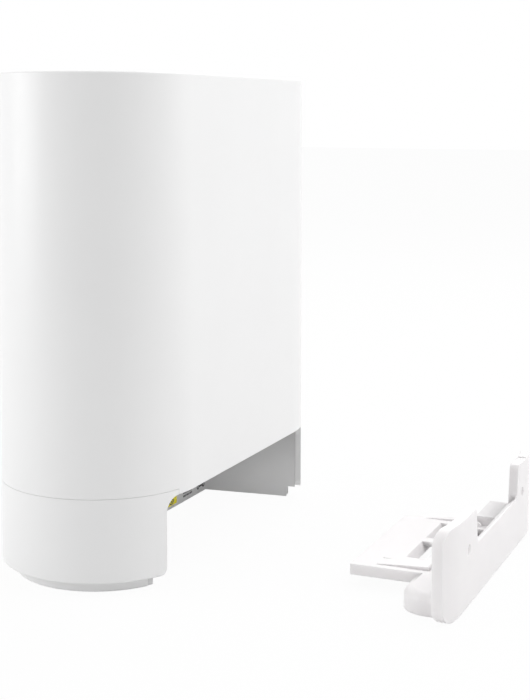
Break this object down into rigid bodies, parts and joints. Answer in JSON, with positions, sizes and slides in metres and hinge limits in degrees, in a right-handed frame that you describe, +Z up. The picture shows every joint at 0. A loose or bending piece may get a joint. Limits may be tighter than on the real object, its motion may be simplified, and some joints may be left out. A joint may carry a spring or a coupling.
{
  "type": "wireless router",
  "caption": "Upright white oval wireless router tower on a recessed foot, with a port bay low in its rear and a detachable U-shaped cable cover that stands behind it.",
  "frame": {"origin": "middle of the oval foot, on the plane that the rubber pads stand on", "axes": "+X along the tower's long side, +Y out of the port side towards the detached cover, +Z up"},
  "size_m": [0.174, 0.1757, 0.184],
  "materials": {
    "casing_white": "fine satin texture",
    "bay_white": "fine matte texture",
    "foot_grey": "matte",
    "pad_rubber": "matte",
    "cover_white": "fine satin texture",
    "button_white": "satin",
    "jack_plastic": "semi-gloss",
    "contact_brass": "gold-plated",
    "socket_steel": "tinned",
    "black_plastic": "matte",
    "label_yellow": "printed film",
    "board_green": "solder mask",
    "sink_aluminium": "extruded, plain",
    "thermal_grey": "soft pad",
    "light_clear": "milky clear",
    "frame_grey": "plain moulding",
    "screw_steel": "zinc plated"
  },
  "bodies": {
    "router": {"upper_shell": "casing_white", "lower_skirt": "casing_white", "base_foot": "foot_grey", "rubber_pads": "pad_rubber", "top_vent": "casing_white", "port_bay": "bay_white", "wan_jack": "jack_plastic", "lan_jack_1": "jack_plastic", "lan_jack_2": "jack_plastic", "lan_jack_3": "jack_plastic", "jack_contacts": "contact_brass", "power_inlet": "black_plastic", "power_inlet_pin": "socket_steel", "usb_socket": "socket_steel", "usb_tongue": "black_plastic", "push_switches": "black_plastic", "wan_label": "label_yellow", "main_board": "board_green", "radio_shield": "socket_steel", "processor_shield": "socket_steel", "thermal_pads": "thermal_grey", "heat_sink": "sink_aluminium", "status_led": "light_clear", "light_pipe": "light_clear", "inner_frame": "frame_grey", "right_aerial": "board_green", "left_aerial": "board_green", "top_right_aerial": "board_green", "top_left_aerial": "board_green", "foot_screws": "screw_steel", "board_screws": "screw_steel"},
    "cover": {"rear_cover": "cover_white"},
    "power_button": {"power_button": "button_white"},
    "pairing_button": {"pairing_button": "button_white"},
    "reset_button": {"reset_button": "button_white"}
  },
  "joints": [
    {"name": "cover_slide", "type": "slide", "parent": "router", "child": "cover", "axis": [0, 1, 0], "range_m": [-0.1007, 0]},
    {"name": "power_button_press", "type": "slide", "parent": "router", "child": "power_button", "axis": [0, -1, 0], "range_m": [0, 0.002], "stiffness_N_per_m": 750},
    {"name": "pairing_button_press", "type": "slide", "parent": "router", "child": "pairing_button", "axis": [0, -1, 0], "range_m": [0, 0.001], "stiffness_N_per_m": 1500},
    {"name": "reset_button_press", "type": "slide", "parent": "router", "child": "reset_button", "axis": [0, -1, 0], "range_m": [0, 0.0008], "stiffness_N_per_m": 1500}
  ]
}
